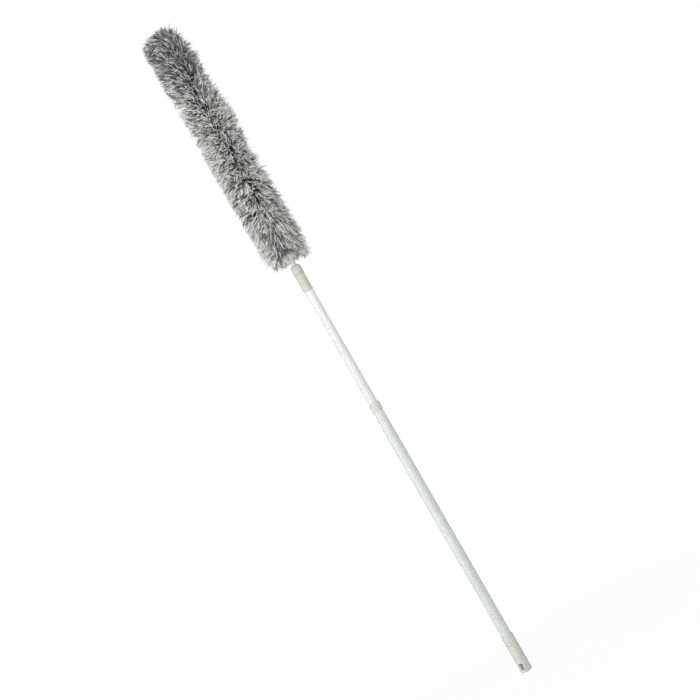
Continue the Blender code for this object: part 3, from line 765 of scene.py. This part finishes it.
# The side that faces the viewer, the viewer's right, and straight down in the picture
VIEW_AZIMUTH = math.radians(29.5)
VIEW_ROLL = math.radians(29.89)
to_viewer = np.array((math.sin(VIEW_AZIMUTH), -math.cos(VIEW_AZIMUTH), 0.0))
viewer_right = np.array((math.cos(VIEW_AZIMUTH), math.sin(VIEW_AZIMUTH), 0.0))
hang_down = -(viewer_right * math.sin(VIEW_ROLL) + np.array((0.0, 0.0, math.cos(VIEW_ROLL))))

# How the nap lies along the head: root heights, with the lean towards the tip in degrees there
NAP_Z = (0.9775, 1.000, 1.050, 1.120, 1.200, 1.300, 1.400, 1.443)
NAP_LEAN = (-31.0, -26.0, -18.0, -11.0, -4.0, 3.0, 8.0, 14.0)
# How far the longest yarns reach from the axis, by the height of their tips
REACH_Z = (0.95, 0.975, 1.000, 1.050, 1.080, 1.300, 1.345, 1.375, 1.400, 1.425, 1.450)
REACH = (0.0445, 0.0495, 0.0515, 0.0528, 0.0533, 0.0533, 0.0498, 0.0493, 0.0515, 0.0525, 0.0485)
MOST_REACH = 0.0533
# Where the cover hangs over the ferrule, its yarns part at the front and show it
FOOT_REACH = 0.035
FRONT_LIFT = 40.0
FRONT_NARROW = 4.0
BACK_LIFT = 10.0
# How far the cover sags towards the viewer's left, and how far it is combed down, by tip height
SAG_Z = (1.00, 1.05, 1.09, 1.15, 1.18, 1.22, 1.25, 1.28, 1.30, 1.34, 1.40, 1.43, 1.45, 1.475, 1.50)
SAG_MM = (0.0, 2.0, 2.0, 5.0, 7.5, 6.0, 1.5, 0.0, 2.0, 3.5, 6.5, 7.5, 10.0, 14.0, 4.0)
COMBED_Z = (0.95, 1.03, 1.28)
COMBED = (0.003, 0.004, 0.0)
# The edge that the hanging yarns keep to, and its corner at the viewer's left, which rises
FOOT_EDGE_Z = 0.9515
EDGE_TRIM = 0.45
CORNER_FROM = 0.034
CORNER_WIDTH = 0.014
CORNER_LIFT = 0.9
CORNER_Z = (0.955, 0.990)
# Tones run from 0 for the darkest yarn to 1 for cream. Shares and tones go by the height of the roots
TONES_AT = (0.0, 0.68, 0.88)
PALE_SHARE = (0.54, 0.53, 0.28)
DARK_SHARE = (0.35, 0.36, 0.56)
PALE_TONES = (0.78, 0.98)
PALE_DULLED = (0.0, 0.0, 0.24)
GREY_TONES = (0.36, 0.62)
DARK_TONES = (0.0, 0.24)
CREAM_AT = (0.0, 0.012, 0.035, 0.06)
CREAM_SHARE = (0.55, 0.45, 0.15, 0.0)
CREAM_TONES = (0.95, 1.0)
# Cream yarns are spared the painted root shade below this share of their length
CREAM_UNSHADED_FROM = 0.88
EDGE_CREAM_SHARE = 0.95
TONE_UNEVEN = 0.03
TONE_LIMITS = (0.02, 0.98)
# Over the ferrule the yarns that point at the viewer are seen end on, and their tone is darkened there:
# painted shade that follows the viewer
END_ON_PAINTED_SHADE = 0.6
END_ON_Z = (0.956, 0.970)

draw = np.random.default_rng(FIBRE_SEED)


def unit(v):
    return v / np.linalg.norm(v, axis=-1, keepdims=True)


# Tufts round the side, row by row, each row set half a pitch round from the one below
row = np.repeat(np.arange(TUFT_ROWS), TUFT_COLUMNS)
column = np.tile(np.arange(TUFT_COLUMNS), TUFT_ROWS)
pitch = 2 * math.pi / TUFT_COLUMNS
angle = (column + 0.5 * (row % 2) + draw.uniform(-COLUMN_UNEVEN, COLUMN_UNEVEN, row.size)) * pitch
row_share = (row + draw.uniform(-ROW_UNEVEN, ROW_UNEVEN, row.size)) / (TUFT_ROWS - 1)
root_z = PILE_FOOT_Z + (PILE_SIDE_TOP_Z - PILE_FOOT_Z) * row_share.clip(0, 1)
side_out = np.stack([np.cos(angle), np.sin(angle), np.zeros(angle.size)], 1)
at_foot = (1 - (root_z - PILE_FOOT_Z) / FOOT_REACH).clip(0, 1)
lean = np.interp(root_z, NAP_Z, NAP_LEAN)
facing = side_out @ to_viewer
lean += at_foot * (FRONT_LIFT * facing.clip(0, 1) ** FRONT_NARROW + BACK_LIFT * facing.clip(-1, 0) ** 2)
lean = np.tan(np.radians(lean + draw.normal(0, LEAN_UNEVEN, lean.size)))
tip_r = np.interp(root_z + (MOST_REACH - ROOT_R) * lean, REACH_Z, REACH)
tip_r += draw.normal(0, TUFT_UNEVEN, lean.size)
side_tips = side_out * tip_r[:, None]
side_tips[:, 2] = root_z + (tip_r - ROOT_R) * lean
side_roots = side_out * ROOT_R
side_roots[:, 2] = root_z
upright = np.array((0.0, 0.0, 1.0))

# Tufts over the rounded tip, spread like the seeds of a sunflower
seed_no = np.arange(DOME_TUFTS) + 0.5
polar = np.arccos(1 - (1 - math.cos(DOME_OPEN)) * seed_no / DOME_TUFTS)
turn = seed_no * GOLDEN_ANGLE
dome_out = np.stack([np.sin(polar) * np.cos(turn), np.sin(polar) * np.sin(turn), np.cos(polar)], 1)
ragged = 1 + draw.normal(0, DOME_RAGGED, (DOME_TUFTS, 1))
dome_tips = dome_out * ragged * (DOME_R, DOME_R, DOME_HEIGHT) + (0, 0, DOME_CENTRE_Z)
dome_tips[:, 2] += DOME_DROOP * (dome_out @ viewer_right).clip(-1, 0)
dome_roots = dome_out * (ROOT_R, ROOT_R, ROOT_R * DOME_ROOTS_FLAT)
dome_roots += (0, 0, DOME_CENTRE_Z - DOME_ROOTS_DROP)

# Cream tufts of the sleeve's own edge, which hang close round the ferrule, longest at the viewer's left
edge_angle = np.array(even_angles(EDGE_TUFTS)) + draw.uniform(-EDGE_UNEVEN, EDGE_UNEVEN, EDGE_TUFTS)
edge_out = np.stack([np.cos(edge_angle), np.sin(edge_angle), np.zeros(EDGE_TUFTS)], 1)
edge_tips = edge_out * draw.uniform(*EDGE_REACH, (EDGE_TUFTS, 1))
edge_tips[:, 2] = EDGE_Z + EDGE_RISE * (edge_out @ viewer_right)
edge_tips[:, 2] += EDGE_LIFT * (edge_out @ to_viewer).clip(0, 1) ** 4
edge_roots = edge_out * ROOT_R + upright * PILE_FOOT_Z

tips = np.concatenate([side_tips, dome_tips, edge_tips])
roots = np.concatenate([side_roots, dome_roots, edge_roots])
outward = np.concatenate([side_out, dome_out, edge_out])
around = unit(np.cross(upright, outward))
along = np.cross(outward, around)
tuft_count = len(tips)

# Tone of each lock. White and dark yarns stand side by side, greyer towards the tip, cream at the foot
height = ((roots[:, 2] - PILE_FOOT_Z) / (DOME_CENTRE_Z - PILE_FOOT_Z)).clip(0, 1).repeat(LOCKS)
dice = draw.uniform(0, 1, height.size)
pale_share = np.interp(height, TONES_AT, PALE_SHARE)
dark_share = np.interp(height, TONES_AT, DARK_SHARE)
pale_tone = draw.uniform(*PALE_TONES, dice.size) - np.interp(height, TONES_AT, PALE_DULLED)
dark_tone = draw.uniform(*DARK_TONES, dice.size)
grey_tone = draw.uniform(*GREY_TONES, dice.size)
lock_tone = np.where(dice < pale_share, pale_tone, np.where(dice > 1 - dark_share, dark_tone, grey_tone))
# Painted shade: front locks over the ferrule, which point at the viewer, are darkened and get fewer cream
# yarns
end_on_shade = at_foot * facing.clip(0, 1) ** 2 * np.interp(side_tips[:, 2], END_ON_Z, (0.0, 1.0))
end_on_shade = np.concatenate([end_on_shade, np.zeros(DOME_TUFTS + EDGE_TUFTS)]).repeat(LOCKS)
lock_tone *= 1 - END_ON_PAINTED_SHADE * end_on_shade
cream_share = np.interp(height, CREAM_AT, CREAM_SHARE) * (1 - end_on_shade)
cream_share[-EDGE_TUFTS * LOCKS :] = EDGE_CREAM_SHARE
is_cream = draw.uniform(0, 1, height.size) < cream_share
cream_tone = draw.uniform(*CREAM_TONES, height.size)
lock_tone = np.where(is_cream, cream_tone, lock_tone).reshape(tuft_count, LOCKS)

# Each tuft parts into locks, the pale ones longest, and each lock into yarns whose ends come together
lock_no = np.arange(LOCKS)
spread = np.sqrt((lock_no + 0.5) / LOCKS) * TUFT_R * draw.uniform(*LOCK_SPREAD, (tuft_count, LOCKS))
swing = lock_no * GOLDEN_ANGLE + draw.uniform(0, 2 * math.pi, (tuft_count, 1))
swing += draw.normal(0, LOCK_SWING, (tuft_count, LOCKS))
across = (spread * np.cos(swing))[..., None] * around[:, None]
lengthwise = (spread * np.sin(swing))[..., None] * along[:, None]
offset = across + lengthwise
short = TUFT_CROWN * (spread / TUFT_R) ** 2 + draw.uniform(0, LOCK_UNEVEN, spread.shape)
short += DARK_SHORTER * (1 - lock_tone)
lock_out = np.broadcast_to(outward[:, None], offset.shape).reshape(-1, 3)
lock_tips = (tips[:, None] + offset - short[..., None] * outward[:, None]).reshape(-1, 3)
lock_tips += draw.normal(0, LOCK_TURNS, lock_tips.shape)
lock_roots = (roots[:, None] + LOCK_GATHERED * offset).reshape(-1, 3)
lock_tips += hang_down * np.interp(lock_tips[:, 2], COMBED_Z, COMBED)[:, None]
lock_tips -= viewer_right * np.interp(lock_tips[:, 2], SAG_Z, SAG_MM)[:, None] / 1000
lock_tips[:, 2] += EDGE_TRIM * (FOOT_EDGE_Z - lock_tips[:, 2]).clip(0)
past_corner = (-lock_tips @ viewer_right - CORNER_FROM).clip(0, CORNER_WIDTH)
lock_tips[:, 2] += CORNER_LIFT * past_corner * np.interp(lock_tips[:, 2], CORNER_Z, (1.0, 0.0))
lock_bow = draw.normal(0, LOCK_BOW, lock_tips.shape)

yarn_count = len(lock_tips) * YARNS
of_lock = np.repeat(np.arange(len(lock_tips)), YARNS)
n_out = lock_out[of_lock]
yarn_tip = lock_tips[of_lock] + draw.normal(0, YARN_TIP_SPREAD, (yarn_count, 3))
yarn_tip -= n_out * draw.uniform(0, YARN_UNEVEN, (yarn_count, 1))
is_stray = draw.uniform(0, 1, (yarn_count, 1)) < STRAY_SHARE
stray_by = n_out * draw.uniform(*STRAY_OUT, (yarn_count, 1))
stray_by += draw.normal(0, STRAY_WANDER, (yarn_count, 3))
yarn_tip += is_stray * stray_by
yarn_root = lock_roots[of_lock] + draw.normal(0, YARN_ROOT_SPREAD, (yarn_count, 3))
for ends, most in ((yarn_tip, MOST_REACH), (yarn_root, ROOT_R)):
    far = np.linalg.norm(ends[:, :2], axis=1, keepdims=True)
    ends[:, :2] *= (most / far).clip(0, 1)
length = np.linalg.norm(yarn_tip - yarn_root, axis=1, keepdims=True)
bow = yarn_root + n_out * length * YARN_BOW_AT + lock_bow[of_lock]
bow += draw.normal(0, YARN_BOW, (yarn_count, 3))
tone = (lock_tone.reshape(-1)[of_lock] + draw.normal(0, TONE_UNEVEN, yarn_count)).clip(*TONE_LIMITS)
# How far along each yarn the painted root shade starts: cream yarns skip most of it
root_shade_from = np.where(is_cream, CREAM_UNSHADED_FROM, 0.0)[of_lock]


def yarn_points(t):
    return (1 - t) ** 2 * yarn_root + 2 * t * (1 - t) * bow + t * t * yarn_tip


# Three-sided tapered yarns: a ring of three at each step, and a point at the end.
# Split fibre scatters light, so each yarn is shaded partly as the pile's own surface.
spin_from = unit(draw.normal(0, 1, (yarn_count, 3)))
rings, normals = [], []
for t, width in zip(YARN_STEPS, YARN_WIDTHS):
    heading = unit((1 - t) * (bow - yarn_root) + t * (yarn_tip - bow))
    one = unit(np.cross(heading, spin_from))
    other = np.cross(heading, one)
    radius = YARN_R * width * np.where(is_stray, STRAY_WIDTH, 1.0)
    for a in even_angles(3):
        spoke = one * math.cos(a) + other * math.sin(a)
        rings.append(yarn_points(t) + spoke * radius)
        normals.append(unit(spoke * (1 - SOFT_SHADE) + n_out * SOFT_SHADE))
yarn_verts = np.stack(rings + [yarn_tip], 1)
yarn_normals = np.stack(normals + [n_out], 1)

# One yarn's faces as corners into its vertices, and each corner's place on the tone map
yarn_size = yarn_verts.shape[1]
last_ring = yarn_size - 4
quads, quad_map = [], []
for step in range(len(YARN_STEPS) - 1):
    for k in range(3):
        m = (k + 1) % 3
        quads.append((step * 3 + k, step * 3 + m, step * 3 + 3 + m, step * 3 + 3 + k))
        low_v, high_v = YARN_STEPS[step], YARN_STEPS[step + 1]
        quad_map.append(((k, low_v), (k + 1, low_v), (k + 1, high_v), (k, high_v)))
tris, tri_map = [(2, 1, 0)], [((0, 0.0), (1, 0.03), (2, 0.0))]
for k in range(3):
    tris.append((last_ring + k, last_ring + (k + 1) % 3, yarn_size - 1))
    tri_map.append(((k, YARN_STEPS[-1]), (k + 1, YARN_STEPS[-1]), (k + 0.5, 1.0)))
quads, tris = np.array(quads), np.array(tris)
quad_map, tri_map = np.array(quad_map, float), np.array(tri_map, float)


def backing_tube(low_z, high_z, closed):
    """The knitted backing under the yarns, as vertices, quads and each corner's place on the tone map, deep
    in the painted root shade.
    """
    profile = [(BACKING_R - BACKING_THICK, low_z)]
    profile += [(BACKING_R, z) for z in np.linspace(low_z, high_z, BACKING_ROWS)]
    if closed:
        profile += [(BACKING_R * math.cos(a), high_z + BACKING_R * math.sin(a)) for a in BACKING_DOME_TURNS]
    turns = np.array(even_angles(BACKING_SIDES))
    circle = np.stack([np.cos(turns), np.sin(turns), np.zeros(BACKING_SIDES)], 1)
    verts = np.concatenate([circle * r + upright * z for r, z in profile])
    column = np.arange(BACKING_SIDES)
    beside = (column + 1) % BACKING_SIDES
    rows = np.arange(len(profile) - 1)[:, None] * BACKING_SIDES
    above = rows + BACKING_SIDES
    faces = np.stack([rows + column, rows + beside, above + beside, above + column], 2).reshape(-1, 4)
    return verts, faces, np.broadcast_to(BACKING_SHADED_MAP, (len(faces), 4, 2))


# Yarn: split microfiber, soft and matt, with a faint twist, and painted shade that darkens it towards the
# crowded roots.
# The map's first axis is the yarn's tone and its second runs from root to tip.
fibre, tree, shader = new_finish("microfiber_yarn")
spot = add(tree, "UVMap", uv_map="OFBake").outputs[0]
parted = add(tree, "SeparateXYZ", ((0, spot),))
ramp = add(tree, "ValToRGB", (("Fac", parted.outputs[0]),))
shades = {
    0.0: (34, 34, 36),
    0.28: (105, 106, 108),
    0.50: (184, 185, 184),
    0.72: (248, 248, 245),
    0.90: (253, 253, 250),
    1.0: (246, 246, 233),
}
while len(ramp.color_ramp.elements) < len(shades):
    ramp.color_ramp.elements.new(0.5)
for stop, (place, colour) in zip(ramp.color_ramp.elements, shades.items()):
    stop.position = place
    stop.color = swatch(colour)
# Painted shade: each yarn darkens from near its tip towards its root, down to a tenth of its tone
painted_root_shade = ranged(tree, parted.outputs[1], 0.24, 0.98, 0.10, 1.0)
split = grain_of(tree, spot, 60.0, 3.0, (3.0, 1.0, 1.0))
twist = ranged(tree, split, 0.30, 0.70, 0.92, 1.0)
shade = times(tree, painted_root_shade, twist)
feeds = ((0, 1.0), (6, ramp.outputs[0]), (7, shade))
dimmed = add(tree, "Mix", feeds, data_type="RGBA", blend_type="MULTIPLY")
tree.links.new(dimmed.outputs[2], shader.inputs["Base Color"])
tree.links.new(ranged(tree, split, 0.3, 0.7, 0.38, 0.58), shader.inputs["Roughness"])
bumped(tree, shader, split, 0.3, 0.0002)
shader.inputs["Sheen Weight"].default_value = 0.15
shader.inputs["Sheen Roughness"].default_value = 0.5
shader.inputs["Specular IOR Level"].default_value = 0.8


def pile_piece(name, low_z, high_z, closed=False):
    """The yarns rooted between two heights, with their stretch of backing, as one mesh."""
    chosen = np.flatnonzero((yarn_root[:, 2] >= low_z) & (yarn_root[:, 2] < high_z))
    back_low, back_high = max(low_z, BACKING_Z[0]), min(high_z, BACKING_Z[1])
    back_verts, back_faces, back_spots = backing_tube(back_low, back_high, closed)
    verts = np.concatenate([yarn_verts[chosen].reshape(-1, 3), back_verts])
    base = (np.arange(len(chosen)) * yarn_size)[:, None, None]
    quad_loops = (base + quads).reshape(-1)
    tri_loops = (base + tris).reshape(-1)
    back_loops = (len(chosen) * yarn_size + back_faces).reshape(-1)
    loops = np.concatenate([quad_loops, back_loops, tri_loops])
    quad_faces = len(quad_loops) // 4 + len(back_faces)
    starts = np.concatenate(
        [np.arange(quad_faces) * 4, quad_faces * 4 + np.arange(len(tri_loops) // 3) * 3]
    )

    def toned(places):
        spots = np.broadcast_to(places, (len(chosen), *places.shape)).copy()
        spots[..., 0] = tone[chosen][:, None, None] + (spots[..., 0] / 3 - 0.5) * TONE_WIDTH
        spots[..., 1] = spots[..., 1].clip(root_shade_from[chosen][:, None, None], 1)
        return spots.reshape(-1, 2)

    spots = np.concatenate([toned(quad_map), back_spots.reshape(-1, 2), toned(tri_map)])
    mesh = bpy.data.meshes.new(name)
    mesh.vertices.add(len(verts))
    mesh.vertices.foreach_set("co", verts.astype(np.float32).ravel())
    mesh.loops.add(len(loops))
    mesh.loops.foreach_set("vertex_index", loops.astype(np.int32))
    mesh.polygons.add(len(starts))
    mesh.polygons.foreach_set("loop_start", starts.astype(np.int32))
    layer = mesh.uv_layers.new(name="OFBake")
    layer.uv.foreach_set("vector", spots.clip(0, 1).astype(np.float32).ravel())
    mesh.update(calc_edges=True)
    mesh.validate()
    mesh.shade_smooth()
    back_out = unit(back_verts - upright * np.minimum(back_verts[:, 2:], back_high))
    mesh.normals_split_custom_set_from_vertices(
        np.concatenate([yarn_normals[chosen].reshape(-1, 3), back_out]).tolist()
    )
    mesh.materials.append(fibre)
    piece = in_scene(name, mesh)
    return piece


# The cover is one sleeve, shown in seven stretches: its ends ride on the head, and each of the others spans
# a joint
splits = [(a + b) / 2 for a, b in zip([cap_top] + BENDS_Z, BENDS_Z)]
splits.append(2 * BENDS_Z[-1] - splits[-1])

foot_pile = pile_piece("pile_foot", 0.0, splits[0])
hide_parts("pile_1")
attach(foot_pile, "head_base")
tip_pile = pile_piece("pile_tip", splits[-1], math.inf, closed=True)
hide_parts("pile_6")
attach(tip_pile, "head_6")
for i, z in enumerate(BENDS_Z):
    stretch = pile_piece(f"pile_bend_{i + 1}", splits[i], splits[i + 1])
    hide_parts(f"pile_{i + 1}", f"pile_{i + 2}")
    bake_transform(stretch)


# Studio.
# A white floor that the duster stands on, a pale surround, and soft lamps in front, at the sides and behind.
# The camera stands level with the pole's middle and is rolled, so that the pole runs as in the picture.

CAMERA_FAR = 4.0
FRAME_WIDTH = 1.414
LOOK_AT_Z = 0.740
LOOK_RIGHT = 0.0127
AMBIENT = 0.19
FLOOR_SIZE = 12.0
FLOOR_TONE = (0.88, 0.88, 0.88, 1.0)
FLOOR_SELF_LIT = 0.95
FLOOR_FADES = (0.25, 1.2)

floor_mesh = bpy.data.meshes.new("floor")
bm = bmesh.new()
bmesh.ops.create_grid(bm, x_segments=1, y_segments=1, size=FLOOR_SIZE)
bm.to_mesh(floor_mesh)
bm.free()
floor = in_scene("floor", floor_mesh)
floor_white, tree, shader = new_finish("floor_white")
tree.nodes.remove(shader)


def seen_ray(tree):
    """1 where a ray comes from the camera, a mirror or clear glass."""
    rays = add(tree, "LightPath")
    seen = rays.outputs["Is Camera Ray"]
    for kind in ("Is Glossy Ray", "Is Transmission Ray"):
        seen = add(tree, "Math", ((0, seen), (1, rays.outputs[kind])), operation="MAXIMUM").outputs[0]
    return seen


lit = add(tree, "BsdfDiffuse", (("Color", FLOOR_TONE),))
glow = add(tree, "Emission", (("Color", (1.0, 1.0, 1.0, 1.0)), ("Strength", 1.0)))
where = add(tree, "TexCoord").outputs["Object"]
far = add(tree, "VectorMath", ((0, where),), operation="LENGTH").outputs["Value"]
share = times(tree, seen_ray(tree), ranged(tree, far, *FLOOR_FADES, FLOOR_SELF_LIT, 1.0))
blend = add(tree, "MixShader", ((0, share), (1, lit.outputs[0]), (2, glow.outputs[0])))
tree.links.new(blend.outputs[0], tree.nodes["Material Output"].inputs["Surface"])
floor_mesh.materials.append(floor_white)

world = bpy.data.worlds.new("pale_surround")
bpy.context.scene.world = world
world.use_nodes = True
tree = world.node_tree
level = ranged(tree, seen_ray(tree), 0.0, 1.0, AMBIENT, 1.0)
tree.links.new(level, tree.nodes["Background"].inputs["Strength"])
tree.nodes["Background"].inputs["Color"].default_value = (1.0, 1.0, 1.0, 1.0)


def soft_lamp(name, watts, size, place, aim_z, spread=180):
    """A lamp that is aimed at the pole's axis, with its beam's spread in degrees."""
    lamp = bpy.data.lights.new(name, "AREA")
    lamp.shape = "RECTANGLE"
    lamp.size, lamp.size_y = size
    lamp.energy = watts
    lamp.spread = math.radians(spread)
    made = in_scene(name, lamp)
    made.location = place
    made.rotation_euler = (Vector((0.0, 0.0, aim_z)) - made.location).to_track_quat("-Z", "Y").to_euler()


def from_left(degrees, distance, height):
    """A place round the duster, by its turn to the left from the viewer."""
    aside = math.radians(degrees)
    place = (to_viewer * math.cos(aside) - viewer_right * math.sin(aside)) * distance
    return (place[0], place[1], height)


soft_lamp("front_lamp", 25.2, (2.2, 0.6), from_left(5, 2.2, 1.35), 0.20)
soft_lamp("high_right_lamp", 12.0, (0.8, 0.6), from_left(-32, 1.8, 1.90), 1.40)
soft_lamp("high_left_lamp", 0.45, (0.5, 0.5), from_left(80, 1.5, 1.28), 1.28, 32)
soft_lamp("left_strip_lamp", 13.4, (0.35, 1.0), from_left(72, 1.7, 0.30), 0.30)
soft_lamp("back_lamp", 25.0, (1.6, 1.4), from_left(168, 2.2, 1.20), 0.80)

roll_cos, roll_sin = math.cos(VIEW_ROLL), math.sin(VIEW_ROLL)
picture_x = viewer_right * roll_cos - upright * roll_sin
picture_y = viewer_right * roll_sin + upright * roll_cos
stand = upright * LOOK_AT_Z + viewer_right * LOOK_RIGHT + to_viewer * CAMERA_FAR
camera = in_scene("camera", bpy.data.cameras.new("camera"))
camera.matrix_world = Matrix(
    [(picture_x[i], picture_y[i], to_viewer[i], stand[i]) for i in range(3)] + [(0.0, 0.0, 0.0, 1.0)]
)
camera.data.sensor_width = 36.0
camera.data.lens = camera.data.sensor_width * CAMERA_FAR / FRAME_WIDTH
camera.data.clip_end = 60.0
bpy.context.scene.camera = camera
bpy.context.scene.view_settings.view_transform = "Standard"
